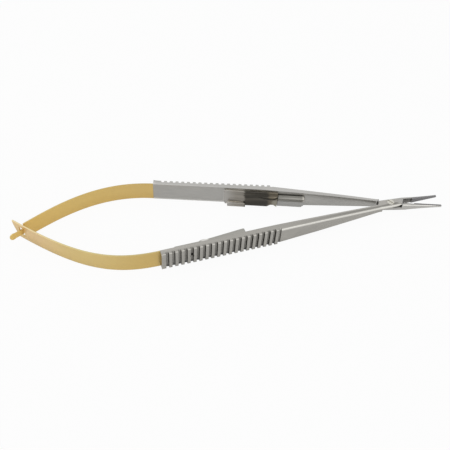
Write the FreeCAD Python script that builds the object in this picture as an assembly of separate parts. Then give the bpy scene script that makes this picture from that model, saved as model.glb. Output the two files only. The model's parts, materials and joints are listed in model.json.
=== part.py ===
"""Micro-surgical needle holder with flat serrated handles, a snap lock and leaf springs.

Each half is drawn with the jaws closed and the pivot at the origin: the strike half has its handle
on the -Y side and its jaw on the +Y side, and the latch half is the same shape given a half turn
about the X axis. The halves are then opened to their rest position. Z = 0 is the middle of the
handles' width until the finished pieces are moved to the part's own frame.
"""
import FreeCAD, Part

import collections
import math
import os

Vector = FreeCAD.Vector
X_AXIS = Vector(1, 0, 0)
Z_AXIS = Vector(0, 0, 1)
ORIGIN = Vector(0, 0, 0)

# Handles, in millimetres and degrees
opening_angle = 14.0        # travel of the jaws from open to closed
handle_length = 78.9        # pivot axis to the rear end of the grips
handle_width = 6.5          # flat handles, across the grips
grip_thickness_rear = 2.0   # inner face to the crests of the grip, at the rear end
grip_thickness_front = 2.5  # and where the grip meets the front of the handle
front_thickness = 2.2       # inner face to outer face just ahead of the grip
rear_half_gap = 5.0         # closed handles: centre plane to inner face at the rear end
handle_bow = 0.27           # rise of the inner face over its chord
taper_start = 42.0          # distance from the pivot where the width begins to fall
taper_bulge = 0.15          # how far the taper stands outside its chord, half way
edge_bevel = 0.4            # bevel of the outer long edges ahead of the grip
grip_bevel = 0.14           # bevel of the grip's outer long edges

# Cross serrations of the grip
groove_count = 20
groove_pitch = 1.895
first_groove = 1.8          # rear end of the handle to the first groove's middle
groove_width = 0.95
groove_depth = 0.82
groove_corner = 0.3         # radius between a groove's floor and its walls

# Lap joint and its screw
joint_height = 2.5          # both laps together
plate_half_width = 1.7
shoulder_inner = 4.8        # the shoulders' inner end, along the handle
shoulder_outer = 3.4        # and their outer end
lap_gap = 0.03              # between the two laps
shoulder_gap = 0.07         # between a shoulder and the other half's lap, closed
screw_shank_radius = 0.8
screw_head_radius = 1.25
screw_head_height = 0.55
screw_head_stand = 0.1      # how far the head stands above the lap
screw_head_round = 0.14
screw_clearance = 0.04
slot_width = 0.38
slot_depth = 0.3
slot_angle = -50.0

# Jaws and their carbide inserts
jaw_length = 17.5           # pivot axis to the tip
jaw_root_thickness = 1.38   # closing plane to the outer face beside the shoulder
jaw_tip_thickness = 0.64
jaw_tip_height = 0.78
jaw_waist_x = 7.4
jaw_waist_thickness = 1.15
jaw_waist_height = 1.95
jaw_hollow = 0.04           # hollow of the jaw's outer face and of its sides
jaw_bevel = 0.22            # bevel of the jaw's outer long edges
jaw_root_bevel = 0.32       # and beside the lap
nose_radius = 0.4           # seen from above
nose_side_radius = 0.28     # seen from the side
insert_start = 8.1
insert_thickness = 0.55
insert_slant = 0.25         # the insert's back end leans forward by this
closing_gap = 0.03          # left between the closing plane and each insert

# Leaf springs: both leaves, then the strike half's with its eye, then the latch half's with its tongue
leaf_thickness = 0.43
leaf_root_width = 6.4
leaf_end_width = 5.8
leaf_reach = 39.8           # rear end of the handles to where the leaves cross
crossing_side = 0.74        # the crossing lies this far towards the latch half
eye_leaf_root_reach = 14.4  # how far the handle's line carries on into the leaf
eye_leaf_tail_reach = 22.5  # how long the leaf runs straight towards the crossing
eye_leaf_angle = 40.0       # between the leaf's tail and the middle line
eye_back = 1.0              # the eye's ends, before and beyond the crossing
eye_front = 1.1
eye_width = 3.2
eye_tip_reach = 3.65        # the leaf's slanted end, from the crossing: its upper corner
eye_heel_reach = 1.6        # and its lower corner
eye_end_bulge = 0.3
tongue_leaf_root_reach = 19.0
tongue_leaf_tail_reach = 11.4
tongue_leaf_angle = 36.4
tongue_length = 4.4         # beyond the crossing
tongue_width = 2.0
tongue_head_radius = 1.15
tongue_shoulder = 0.65      # full width ends this far before the crossing

# Strike plate on the strike handle; its lengths run forward from its rear end
strike_setback = 5.5        # from the handle's rear end
strike_flat_length = 8.0
strike_bump_length = 2.4
strike_ramp_length = 10.8
strike_plate_thickness = 0.5
strike_bump_height = 1.0
strike_ramp_low = 0.75
strike_ramp_high = 1.8
strike_side_margin = 0.3
strike_rear_bevel = 0.4
strike_nose = 0.3           # bevel at the top of the tall end
strike_lip = 0.55
strike_undercut_height = 0.7
strike_undercut_depth = 0.9
strike_undercut_length = 4.0
rivet_radius = 0.6
rivet_groove = 4            # the groove that the rivet's tail ends in, counted from the rear

# Latch on the latch handle; its lengths run forward from the lever's rear end
head_setback = 3.2          # the lever's rear end lies behind the strike's tall end by this
head_length = 6.6
paddle_length = 9.2
boss_length = 1.95
lever_gap = 0.15            # between boss and barrel, end to end
barrel_length = 8.8
hook_setback = 1.2
hook_length = 6.0
neck_notch_depth = 0.8      # notch in the lever's lower edge behind the barrel
neck_notch_slope = 1.15     # length of each slope
neck_notch_flat = 1.0
barrel_radius = 1.1
barrel_wall_end = 1.2
barrel_chamfer = 0.35
pilot_wall = 0.3            # left in front of the thin hole for the pin's tail
barrel_root = 0.6           # the flange's foot is drawn this far into the bowed handle
latch_axis_height = 0.72    # from the handle's inner face to the barrel's axis
latch_axis_z = 0.64
flange_thickness = 0.95
flange_bevel = 0.8
flange_margin = 0.45        # from the handle's lower edge
boss_radius = 1.02
boss_cone_length = 5.0      # the boss runs out into the paddle's face over this length
boss_clearance = 0.15       # between the boss and the handle
lever_back = 0.6            # the lever's back stands off the handle by this
lever_thickness = 0.65
lever_end_thickness = 0.3   # at the thin head's rear end
lever_top_margin = 0.4
lever_bottom_margin = 0.2
head_corner_length = 0.5    # bevel at the head's lower rear corner
head_corner_height = 0.9
hook_reach = 2.1            # from the handle's inner face to the hook's foot
hook_width = 1.0
hook_lip = 0.55
hook_lip_thickness = 0.5
hook_lip_slope = 0.22       # fall of the lip's outer edge
pin_radius = 0.58
pin_tail_radius = 0.28
pin_bearing_length = 1.6
pin_clearance = 0.05
spring_wire_radius = 0.11
spring_wire_sides = 5
spring_coil_radius = 0.46
spring_pitch = 0.85
spring_end_gap = 0.15       # left at each end of the coil

half_opening = opening_angle / 2.0
half_width = handle_width / 2.0
joint_half = joint_height / 2.0
grip_end = handle_length - first_groove - (groove_count - 1) * groove_pitch     # in the last groove
over = 1.0                  # how far cutters are drawn past what they cut

# Distances from the pivot axis
strike_rear = handle_length - strike_setback
strike_bump_rear = strike_rear - strike_flat_length
strike_bump_front = strike_bump_rear - strike_bump_length
strike_front = strike_bump_front - strike_ramp_length
rivet_distance = handle_length - first_groove - rivet_groove * groove_pitch
head_rear = strike_front + head_setback
paddle_rear = head_rear - head_length
boss_rear = paddle_rear - paddle_length
barrel_rear = boss_rear - boss_length - lever_gap
barrel_front = barrel_rear - barrel_length
hook_rear = head_rear - hook_setback
crossing_distance = handle_length + leaf_reach


def arc(start, middle, end):
    return Part.Arc(start, middle, end).toShape()


def line(start, end):
    return Part.LineSegment(start, end).toShape()


def polyline(points):
    return [line(a, b) for a, b in zip(points[:-1], points[1:])]


def prism(edges, direction):
    """A closed run of edges, made a face and drawn out along a vector."""
    return Part.Face(Part.Wire(Part.__sortEdges__(edges))).extrude(direction)


def outline_prism(points, direction):
    return prism(polyline(points + points[:1]), direction)


def box(x0, x1, y0, y1, z0, z1):
    return Part.makeBox(x1 - x0, y1 - y0, z1 - z0, Vector(x0, y0, z0))


def half_turn(shape):
    """The latch half's copy of something drawn for the strike half."""
    turned = shape.copy()
    turned.rotate(ORIGIN, X_AXIS, 180)
    return turned


def opened(shape, degrees):
    turned = shape.copy()
    turned.rotate(ORIGIN, Z_AXIS, degrees)
    return turned


# The inner faces of the closed handles lie on one large circle through the pivot
bow_radius = (math.hypot(handle_length, rear_half_gap) / 2.0) ** 2 / (2 * handle_bow) + handle_bow / 2.0
chord_angle = math.atan2(rear_half_gap, handle_length)
chord_middle = Vector(-handle_length / 2.0, -rear_half_gap / 2.0, 0)
chord_normal = Vector(-math.sin(chord_angle), math.cos(chord_angle), 0)
bow_centre = chord_middle + chord_normal * (bow_radius - handle_bow)


def handle_point(distance, outward, z=0.0):
    """A point beside the strike handle's inner face, at an x of -distance on the face itself."""
    face_y = bow_centre.y - math.sqrt(bow_radius ** 2 - (-distance - bow_centre.x) ** 2)
    on_face = Vector(-distance, face_y, 0)
    normal = (on_face - bow_centre).normalize()
    return on_face + normal * outward + Vector(0, 0, z)


def handle_arc(start, end, outward, z=0.0):
    return arc(*[handle_point(distance, outward, z) for distance in (start, (start + end) / 2.0, end)])


def grip_thickness(distance):
    """Inner face to the crests, falling evenly towards the rear end."""
    share = (distance - grip_end) / (handle_length - grip_end)
    return grip_thickness_front + (grip_thickness_rear - grip_thickness_front) * share


def front_outer_point(distance, z=0.0):
    """A point on the outer face between the grip and the lap."""
    joint = -plate_half_width - handle_point(shoulder_inner, 0).y
    share = (distance - shoulder_inner) / (grip_end - shoulder_inner)
    return handle_point(distance, -joint + (front_thickness + joint) * share, z)


def half_plan(z):
    """Outline of one half seen from above: handle, lap plate and jaw."""
    grip_middle = (handle_length + grip_end) / 2.0
    rear_inner = handle_point(handle_length, 0, z)
    rear_outer = handle_point(handle_length, grip_thickness_rear, z)
    grip_front = handle_point(grip_end, grip_thickness_front, z)
    crest = handle_point(grip_middle, grip_thickness(grip_middle), z)
    front_rear = handle_point(grip_end, front_thickness, z)
    front_middle = front_outer_point((grip_end + shoulder_inner) / 2.0, z)
    plate_near_rear = Vector(-shoulder_inner, -plate_half_width, z)
    plate_near_front = Vector(shoulder_outer, -plate_half_width, z)
    inner_front = handle_point(shoulder_inner, 0, z)
    plate_far_rear = Vector(-shoulder_outer, plate_half_width, z)
    jaw_root = Vector(shoulder_inner, jaw_root_thickness, z)
    jaw_waist = Vector(jaw_waist_x, jaw_waist_thickness, z)
    nose_centre = Vector(jaw_length - nose_radius, jaw_tip_thickness - nose_radius, z)
    nose_start = nose_centre + Vector(0, nose_radius, 0)
    nose_side = nose_centre + Vector(1, 1, 0).normalize() * nose_radius
    tip = nose_centre + Vector(nose_radius, 0, 0)
    tip_inner = Vector(jaw_length, closing_gap, z)
    insert_heel = Vector(insert_start, closing_gap, z)
    relief_front = Vector(insert_start, -inner_front.y, z)
    jaw_heel = Vector(shoulder_inner, -inner_front.y, z)
    jaw_middle = Vector((jaw_waist_x + nose_start.x) / 2.0,
                        (jaw_waist_thickness + jaw_tip_thickness) / 2.0 - jaw_hollow, z)
    return [
        handle_arc(handle_length, shoulder_inner, 0, z),
        line(inner_front, plate_far_rear),
        line(plate_far_rear, jaw_root),
        line(jaw_root, jaw_waist),
        arc(jaw_waist, jaw_middle, nose_start),
        arc(nose_start, nose_side, tip),
        line(tip, tip_inner),
        line(tip_inner, insert_heel),
        line(insert_heel, relief_front),
        line(relief_front, jaw_heel),
        line(jaw_heel, plate_near_front),
        line(plate_near_front, plate_near_rear),
        arc(plate_near_rear, front_middle, front_rear),
        line(front_rear, grip_front),
        arc(grip_front, crest, rear_outer),
        line(rear_outer, rear_inner),
    ]


def half_side():
    """Outline of one half seen from the side, wide at the grip and fine at the tip."""
    reach = 20.0

    def upper_and_lower(sign):
        grip_rear = Vector(-handle_length - over, -reach, sign * half_width)
        grip_front = Vector(-taper_start, -reach, sign * half_width)
        taper_end = Vector(-shoulder_inner, -reach, sign * joint_half)
        taper_middle = Vector(-(taper_start + shoulder_inner) / 2.0, -reach,
                              sign * ((half_width + joint_half) / 2.0 + taper_bulge))
        jaw_root = Vector(shoulder_inner, -reach, sign * joint_half)
        waist = Vector(jaw_waist_x, -reach, sign * jaw_waist_height / 2.0)
        nose_height = jaw_tip_height / 2.0 - nose_side_radius
        nose_centre = Vector(jaw_length - nose_side_radius, -reach, sign * nose_height)
        nose = nose_centre + Vector(0, 0, sign * nose_side_radius)
        nose_corner = nose_centre + Vector(1, 0, sign).normalize() * nose_side_radius
        nose_end = nose_centre + Vector(nose_side_radius, 0, 0)
        jaw_middle = Vector((waist.x + nose.x) / 2.0, -reach,
                            sign * ((jaw_waist_height + jaw_tip_height) / 4.0 - jaw_hollow))
        edges = [line(grip_rear, grip_front), arc(grip_front, taper_middle, taper_end),
                 line(taper_end, jaw_root), line(jaw_root, waist), arc(waist, jaw_middle, nose),
                 arc(nose, nose_corner, nose_end)]
        return edges, grip_rear, nose_end

    top, top_rear, top_nose = upper_and_lower(1)
    bottom, bottom_rear, bottom_nose = upper_and_lower(-1)
    edges = top + [line(top_nose, bottom_nose)] + bottom + [line(bottom_rear, top_rear)]
    return prism(edges, Vector(0, 2 * reach, 0))


def grip_grooves():
    """Cutters across the outer face with rounded inner corners, from the rear end forward."""
    cutters = []
    half_groove = groove_width / 2.0
    for index in range(groove_count):
        distance = handle_length - first_groove - index * groove_pitch
        floor = handle_point(distance, grip_thickness(distance) - groove_depth)
        outside = handle_point(distance, grip_thickness(distance) + over)
        along = (outside - floor).normalize()
        across = Vector(-along.y, along.x, 0)
        start = floor + Vector(0, 0, -half_width - over)
        end = outside + Vector(0, 0, -half_width - over)
        edges = polyline([start + across * half_groove + along * groove_corner, end + across * half_groove,
                          end - across * half_groove, start - across * half_groove + along * groove_corner])
        edges.append(line(start - across * (half_groove - groove_corner),
                          start + across * (half_groove - groove_corner)))
        for sign in (1, -1):
            centre = start + across * sign * (half_groove - groove_corner) + along * groove_corner
            edges.append(arc(centre + across * sign * groove_corner,
                             centre + (across * sign - along).normalize() * groove_corner,
                             centre - along * groove_corner))
        cutters.append(prism(edges, Vector(0, 0, handle_width + 2 * over)))
    return cutters


def side_half_height(distance):
    """Half the handle's width where it falls from the grip to the lap."""
    share = (distance - shoulder_inner) / (taper_start - shoulder_inner)
    return joint_half + (half_width - joint_half) * share + 4 * taper_bulge * share * (1 - share)


def bevel_cutters(corners, outward):
    """Ruled cutters, above and below, along corners given as (point, bevel there)."""
    cutters = []
    for sign in (1, -1):
        sections = []
        for corner, bevel in corners:
            points = [Vector(corner.x, corner.y - outward * (bevel + over), sign * (corner.z + over)),
                      Vector(corner.x, corner.y + outward * over, sign * (corner.z - bevel - over)),
                      Vector(corner.x, corner.y + outward * over, sign * (corner.z + over))]
            sections.append(Part.makePolygon(points + points[:1]))
        cutters.append(Part.makeLoft(sections, True, True))
    return cutters


def front_bevels():
    """The outer long edges from the grip to the end of the lap."""
    stations = 8
    spacing = (grip_end - shoulder_inner) / stations
    distances = [grip_end - index * spacing for index in range(stations + 1)]
    corners = [front_outer_point(distance, side_half_height(distance)) for distance in distances]
    corners.append(Vector(shoulder_outer, -plate_half_width, joint_half))
    return bevel_cutters([(corner, edge_bevel) for corner in corners], -1)


def jaw_bevels():
    """The outer long edges on the jaw's side, from the lap's far end to the tip."""
    stations = 5
    nose_x = jaw_length - nose_radius
    corners = [(Vector(-shoulder_outer, plate_half_width, joint_half), jaw_root_bevel),
               (Vector(shoulder_inner, jaw_root_thickness, joint_half), jaw_root_bevel)]
    for index in range(stations + 1):
        share = index / stations
        hollow = 4 * jaw_hollow * share * (1 - share)
        outer = jaw_waist_thickness + (jaw_tip_thickness - jaw_waist_thickness) * share - hollow
        height = (jaw_waist_height + (jaw_tip_height - jaw_waist_height) * share) / 2.0 - hollow
        corners.append((Vector(jaw_waist_x + (nose_x - jaw_waist_x) * share, outer, height), jaw_bevel))
    corners.append((corners[-1][0] + X_AXIS * over, jaw_bevel))
    return bevel_cutters(corners, 1)


def grip_bevels():
    """Flat cutters that bevel the grip's outer long edges."""
    rear = handle_point(handle_length, grip_thickness_rear)
    front = handle_point(grip_end, grip_thickness_front)
    along = (front - rear).normalize()
    inward = Vector(-along.y, along.x, 0)
    cutters = []
    for sign in (1, -1):
        down = Vector(0, 0, -sign)
        corners = []
        for point in (rear, front):
            corner = point - down * half_width
            corners.append(corner + inward * (grip_bevel + over) - down * over)
            corners.append(corner - inward * over + down * (grip_bevel + over))
        rear_in, rear_low, front_in, front_low = corners
        cutters.append(outline_prism([rear_in, rear_low, front_low, front_in], (inward + down) * -1))
    return cutters


def insert_plan(z):
    """The carbide insert from above; its back slants so that it keys into the jaw."""
    return [Vector(insert_start, closing_gap, z), Vector(jaw_length + over, closing_gap, z),
            Vector(jaw_length + over, closing_gap + insert_thickness, z),
            Vector(insert_start + insert_slant, closing_gap + insert_thickness, z)]


def lap_cutter():
    """What one half loses between its shoulders so that the other half's lap can turn there."""
    reach = 3.0
    inner = handle_point(shoulder_inner, 0)
    outer = Vector(-shoulder_outer, -plate_half_width, 0)
    mirrored_inner = Vector(inner.x, -inner.y, 0)
    along = (outer - mirrored_inner).normalize()
    back = Vector(-along.y, along.x, 0)
    if back.x > 0:
        back = back * -1
    low = mirrored_inner - along * reach + back * shoulder_gap
    high = outer + along * reach + back * shoulder_gap
    depth = Vector(0, 0, -half_width - over)
    start = Vector(0, 0, lap_gap / 2.0)
    corners = [low + start, high + start, low * -1 + start, high * -1 + start]
    return outline_prism(corners, depth - start)


def half_outline():
    """Plan and side outline together, with the outer long edges bevelled."""
    outline = prism(half_plan(-half_width), Vector(0, 0, handle_width)).common(half_side())
    return outline.cut(front_bevels()).cut(jaw_bevels())


def half_blank(outline):
    """One half before the things that only the strike half or the latch half has."""
    seat = outline_prism(insert_plan(-half_width), Vector(0, 0, handle_width))
    blank = outline.cut([lap_cutter(), seat]).cut(grip_bevels()).cut(grip_grooves())
    return blank.removeSplitter()


def jaw_insert(outline):
    """The insert fills the seat out to the jaw's own outline."""
    return outline.common(outline_prism(insert_plan(-half_width), Vector(0, 0, handle_width)))


def screw_holes_upper():
    shank = Part.makeCylinder(screw_shank_radius + screw_clearance, handle_width, Vector(0, 0, -half_width))
    counterbore = Part.makeCylinder(screw_head_radius + screw_clearance, handle_width,
                                    Vector(0, 0, joint_half - screw_head_height + screw_head_stand))
    return shank.fuse(counterbore)


def screw_hole_lower():
    return Part.makeCylinder(screw_shank_radius, handle_width, Vector(0, 0, -half_width - over))


def joint_screw():
    seat = joint_half - screw_head_height + screw_head_stand + screw_clearance
    head_height = screw_head_height - screw_clearance
    shank = Part.makeCylinder(screw_shank_radius, joint_half + seat, Vector(0, 0, -joint_half))
    head = Part.makeCylinder(screw_head_radius, head_height, Vector(0, 0, seat))
    rim = [edge for edge in head.Edges
           if edge.Length > 2 * screw_head_radius and edge.CenterOfMass.z > seat + head_height / 2.0]
    head = head.makeFillet(screw_head_round, rim)
    slot_end = screw_head_radius + over
    slot = box(-slot_end, slot_end, -slot_width / 2.0, slot_width / 2.0,
               seat + head_height - slot_depth, seat + head_height + over)
    slot.rotate(ORIGIN, Z_AXIS, slot_angle)
    return head.fuse(shank).cut(slot).removeSplitter()


def strike_plate():
    """A riveted plate that rises in a ramp to the tall end which the latch catches."""
    def at(distance, height):
        return handle_point(distance, -height, -half_width + strike_side_margin)

    bump_middle = (strike_bump_rear + strike_bump_front) / 2.0
    corners = [at(strike_rear, 0), at(strike_rear - strike_rear_bevel, strike_plate_thickness),
               at(strike_bump_rear, strike_plate_thickness)]
    ramp = [at(strike_bump_front, strike_ramp_low), at(strike_front + strike_nose, strike_ramp_high),
            at(strike_front, strike_ramp_high - strike_nose / 2.0), at(strike_front, 0)]
    edges = polyline(corners) + [arc(corners[-1], at(bump_middle, strike_bump_height), ramp[0])]
    edges += polyline(ramp)
    edges.append(arc(ramp[-1], at((strike_front + strike_rear) / 2.0, 0), corners[0]))
    plate = prism(edges, Vector(0, 0, handle_width - 2 * strike_side_margin))
    low = strike_ramp_high - strike_lip - strike_undercut_height
    groove = [at(strike_front - over, low), at(strike_front + strike_undercut_length, low),
              at(strike_front + strike_undercut_length, low + strike_undercut_height),
              at(strike_front - over, low + strike_undercut_height)]
    undercut = outline_prism(groove, Vector(0, 0, strike_undercut_depth))
    return plate.cut(undercut)


def strike_rivet_axis():
    start = handle_point(rivet_distance, -strike_plate_thickness)
    end = handle_point(rivet_distance, grip_thickness(rivet_distance) - groove_depth)
    return start, end


def strike_rivet():
    """Its head is flush with the plate and its tail is closed at the floor of a groove."""
    start, end = strike_rivet_axis()
    return Part.makeCylinder(rivet_radius, (end - start).Length, start, end - start)


def rivet_hole():
    start, end = strike_rivet_axis()
    along = (end - start).normalize()
    start = handle_point(rivet_distance, -strike_ramp_high)
    return Part.makeCylinder(rivet_radius, (end - start).Length + over, start, along)


# The latch is drawn straight, on the tangent of the latch handle's inner face at the barrel
latch_origin = half_turn(Part.Vertex(handle_point(barrel_rear, 0))).Point
latch_slope = math.degrees(math.atan2(handle_point(barrel_front, 0).y - handle_point(paddle_rear, 0).y,
                                      paddle_rear - barrel_front))


def on_latch_handle(shape):
    """Local frame: x runs to the jaws from the barrel's rear end, -y away from the handle."""
    placed = shape.copy()
    placed.rotate(ORIGIN, Z_AXIS, -latch_slope)
    placed.translate(latch_origin)
    return placed


def latch_x(distance):
    return barrel_rear - distance


def latch_barrel(handle):
    """Half-round housing with a flange, bored for the lever's pin and its spring."""
    flange_low = -half_width + flange_margin
    centre = Vector(0, -latch_axis_height, latch_axis_z)
    tube = Part.makeCylinder(barrel_radius, barrel_length, centre, X_AXIS)
    front = [edge for edge in tube.Edges
             if edge.CenterOfMass.x > barrel_length - barrel_chamfer and edge.Length > 2 * barrel_radius]
    tube = tube.makeChamfer(barrel_chamfer, front)
    flange = outline_prism([Vector(0, -flange_thickness, flange_low),
                            Vector(0, -flange_thickness, latch_axis_z),
                            Vector(barrel_length, -flange_thickness, latch_axis_z),
                            Vector(barrel_length, -flange_thickness, flange_low + flange_bevel),
                            Vector(barrel_length - flange_bevel, -flange_thickness, flange_low)],
                           Vector(0, flange_thickness + barrel_root, 0))
    body = on_latch_handle(tube.fuse(flange).removeSplitter())
    return body.cut([handle, on_latch_handle(barrel_bore())])


def barrel_bore():
    centre = Vector(-over, -latch_axis_height, latch_axis_z)
    bore_length = barrel_length - barrel_wall_end + over
    pilot_length = barrel_length - pilot_wall + over
    bore = Part.makeCylinder(pin_radius + pin_clearance, bore_length, centre, X_AXIS)
    return bore.fuse(Part.makeCylinder(pin_tail_radius + pin_clearance, pilot_length, centre, X_AXIS))


def latch_pin():
    """Stepped pin: a bearing at the mouth of the barrel and a thin tail that holds the spring."""
    centre = Vector(-lever_gap - boss_length, -latch_axis_height, latch_axis_z)
    bearing = Part.makeCylinder(pin_radius, boss_length + lever_gap + pin_bearing_length, centre, X_AXIS)
    pin_length = boss_length + lever_gap + barrel_length - pilot_wall - pin_clearance
    return on_latch_handle(bearing.fuse(Part.makeCylinder(pin_tail_radius, pin_length, centre, X_AXIS)))


def lever_plate(low, high):
    """The lever's flat part: neck, paddle and thin head."""
    face = -lever_back - lever_thickness
    boss_front, paddle_back, head_back = -lever_gap, latch_x(paddle_rear), latch_x(head_rear)
    notch_front = boss_front - neck_notch_slope
    notch_back = notch_front - neck_notch_flat
    front = [Vector(boss_front, 0, low), Vector(notch_front, 0, low + neck_notch_depth),
             Vector(notch_back, 0, low + neck_notch_depth), Vector(notch_back - neck_notch_slope, 0, low),
             Vector(head_back + head_corner_length, 0, low), Vector(head_back, 0, low + head_corner_height),
             Vector(head_back, 0, high), Vector(boss_front, 0, high)]
    bottom = low - over
    section = [Vector(boss_front, -lever_back, bottom), Vector(head_back, -lever_back, bottom),
               Vector(head_back, -lever_back - lever_end_thickness, bottom),
               Vector(paddle_back, face, bottom), Vector(boss_front, face, bottom)]
    return outline_prism(front, Vector(0, face - over, 0)).common(
        outline_prism(section, Vector(0, 0, handle_width + 2 * over)))


def lever_hook(low):
    """A foot that reaches from the head's lower edge, with a lip along it."""
    rear = latch_x(hook_rear)
    shelf = -hook_reach + hook_lip_thickness
    profile = [Vector(rear, -lever_back, low), Vector(rear, -lever_back, low + hook_width),
               Vector(rear, shelf, low + hook_width), Vector(rear, shelf, low + hook_width + hook_lip),
               Vector(rear, -hook_reach, low + hook_width + hook_lip - hook_lip_slope),
               Vector(rear, -hook_reach, low)]
    return outline_prism(profile, Vector(hook_length, 0, 0))


def latch_lever():
    """Notched paddle with the boss running out into it, thin head and the hook at its lower edge."""
    low = -half_width + lever_bottom_margin
    boss_back = latch_x(boss_rear)
    centre = Vector(boss_back, -latch_axis_height, latch_axis_z)
    boss = Part.makeCylinder(boss_radius, boss_length, centre, X_AXIS)
    cone_end_radius = lever_back + lever_thickness - latch_axis_height
    boss = boss.fuse(Part.makeCone(boss_radius, cone_end_radius, boss_cone_length, centre, X_AXIS * -1))
    boss = boss.cut(box(boss_back - boss_cone_length, 0, -boss_clearance, over, -half_width, half_width))
    pin_hole = Part.makeCylinder(pin_radius, boss_length + over, centre, X_AXIS)
    lever = lever_plate(low, half_width - lever_top_margin).fuse([boss, lever_hook(low)])
    return on_latch_handle(lever.cut(pin_hole).removeSplitter())


def latch_spring():
    """Torsion spring coiled round the pin's tail inside the barrel."""
    start = pin_bearing_length + spring_wire_radius + spring_end_gap
    end = barrel_length - barrel_wall_end - spring_wire_radius - spring_end_gap
    turns = math.floor((end - start) / spring_pitch)
    helix = Part.makeHelix(spring_pitch, turns * spring_pitch, spring_coil_radius)
    steps = [2 * math.pi * side / spring_wire_sides for side in range(spring_wire_sides + 1)]
    section = Part.makePolygon([Vector(spring_coil_radius + spring_wire_radius * math.cos(step), 0,
                                       spring_wire_radius * math.sin(step)) for step in steps])
    coil = Part.Wire(helix).makePipeShell([section], True, True)
    coil.rotate(ORIGIN, Vector(0, 1, 0), 90)
    coil.translate(Vector(start, -latch_axis_height, latch_axis_z))
    return on_latch_handle(coil)


Leaf = collections.namedtuple("Leaf", "root_reach tail_reach angle side")
EYE_LEAF = Leaf(eye_leaf_root_reach, eye_leaf_tail_reach, eye_leaf_angle, crossing_side)
TONGUE_LEAF = Leaf(tongue_leaf_root_reach, tongue_leaf_tail_reach, tongue_leaf_angle, -crossing_side)


def leaf_frame(leaf):
    """Root and crossing at rest, each with its direction, of a leaf drawn on the strike half."""
    root = handle_point(handle_length, leaf_thickness / 2.0)
    outward = (root - bow_centre).normalize()
    turn = FreeCAD.Rotation(Z_AXIS, half_opening)
    tangent = turn.multVec(Vector(outward.y, -outward.x, 0))
    crossing = Vector(-crossing_distance, leaf.side, 0)
    angle = math.radians(leaf.angle)
    return turn.multVec(root), tangent, crossing, Vector(-math.cos(angle), math.sin(angle), 0)


def leaf_blank(leaf, tail_length):
    """A curve from the handle's end to a straight tail, drawn out to a width that falls a little."""
    root, tangent, crossing, heading = leaf_frame(leaf)
    curve = Part.BezierCurve()
    curve.setPoles([root, root + tangent * leaf.root_reach, crossing - heading * leaf.tail_reach, crossing])
    sides = []
    stations = 12
    for side in (-0.5, 0.5):
        points = []
        for index in range(stations + 1):
            parameter = index / stations
            direction = curve.tangent(parameter)[0]
            normal = Vector(-direction.y, direction.x, 0)
            points.append(curve.value(parameter) + normal * side * leaf_thickness)
        spline = Part.BSplineCurve()
        spline.interpolate(points)
        sides.append((spline.toShape(), points[0], points[-1]))
    (first, first_root, first_end), (second, second_root, second_end) = sides
    end = heading * tail_length
    edges = [first, line(first_end, first_end + end), line(first_end + end, second_end + end),
             line(second_end + end, second_end), second, line(second_root, first_root)]
    half_root, half_end = leaf_root_width / 2.0, leaf_end_width / 2.0
    reach = handle_length
    front, rear = root.x + over, -crossing_distance - tail_length
    taper = outline_prism([Vector(front, -reach, -half_root), Vector(front, -reach, half_root),
                           Vector(rear, -reach, half_end), Vector(rear, -reach, -half_end)],
                          Vector(0, 2 * reach, 0))
    plan = [edge.translated(Vector(0, 0, -half_root)) for edge in edges]
    return prism(plan, Vector(0, 0, leaf_root_width)).common(taper)


def tail_point(leaf, along, z):
    """A point behind the tail's middle plane, given as (along the leaf past the crossing, z)."""
    crossing, heading = leaf_frame(leaf)[2:]
    return crossing + heading * along + Vector(0, 0, z) - Vector(-heading.y, heading.x, 0) * over


def tail_cutter(leaf, edges):
    """A cutter drawn out across the tail from edges between tail points."""
    heading = leaf_frame(leaf)[3]
    return prism(edges, Vector(-heading.y, heading.x, 0) * 2 * over)


def eye_leaf():
    """The strike half's leaf: an eye round the crossing and a slanted end that rises to a point."""
    def at(along, z):
        return tail_point(EYE_LEAF, along, z)

    half_eye, half_end = eye_width / 2.0, leaf_end_width / 2.0
    far = eye_tip_reach + over
    eye = polyline([at(-eye_back, -half_eye), at(eye_front, -half_eye), at(eye_front, half_eye),
                    at(-eye_back, half_eye), at(-eye_back, -half_eye)])
    tip, heel = at(eye_tip_reach, half_end), at(eye_heel_reach, -half_end)
    middle = at((eye_tip_reach + eye_heel_reach) / 2.0 + eye_end_bulge, 0)
    end = polyline([tip, at(eye_tip_reach, half_end + over), at(far, half_end + over),
                    at(far, -half_end - over), at(eye_heel_reach, -half_end - over), heel])
    end.append(arc(tip, middle, heel))
    blank = leaf_blank(EYE_LEAF, eye_tip_reach + over / 2.0)
    return blank.cut([tail_cutter(EYE_LEAF, eye), tail_cutter(EYE_LEAF, end)])


def tongue_leaf():
    """The latch half's leaf narrows to a neck with a round head, which passes through the eye."""
    half_neck = tongue_width / 2.0
    head_middle = tongue_length - tongue_head_radius
    far = tongue_length + over
    side = leaf_root_width / 2.0 + over
    corners = [(sign * half_neck, sign * side, -tongue_shoulder) for sign in (1, -1)]
    corners.append((-side, side, head_middle))
    cutters = []
    for low, high, start in corners:
        corner_points = [(start, low), (far, low), (far, high), (start, high), (start, low)]
        points = [tail_point(TONGUE_LEAF, along, z) for along, z in corner_points]
        cutters.append(tail_cutter(TONGUE_LEAF, polyline(points)))
    crossing, heading = leaf_frame(TONGUE_LEAF)[2:]
    normal = Vector(-heading.y, heading.x, 0)
    head = Part.makeCylinder(tongue_head_radius, leaf_thickness,
                             crossing + heading * head_middle - normal * leaf_thickness / 2.0, normal)
    blank = leaf_blank(TONGUE_LEAF, tongue_length)
    return half_turn(blank.cut(cutters).fuse(head).removeSplitter())


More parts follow.
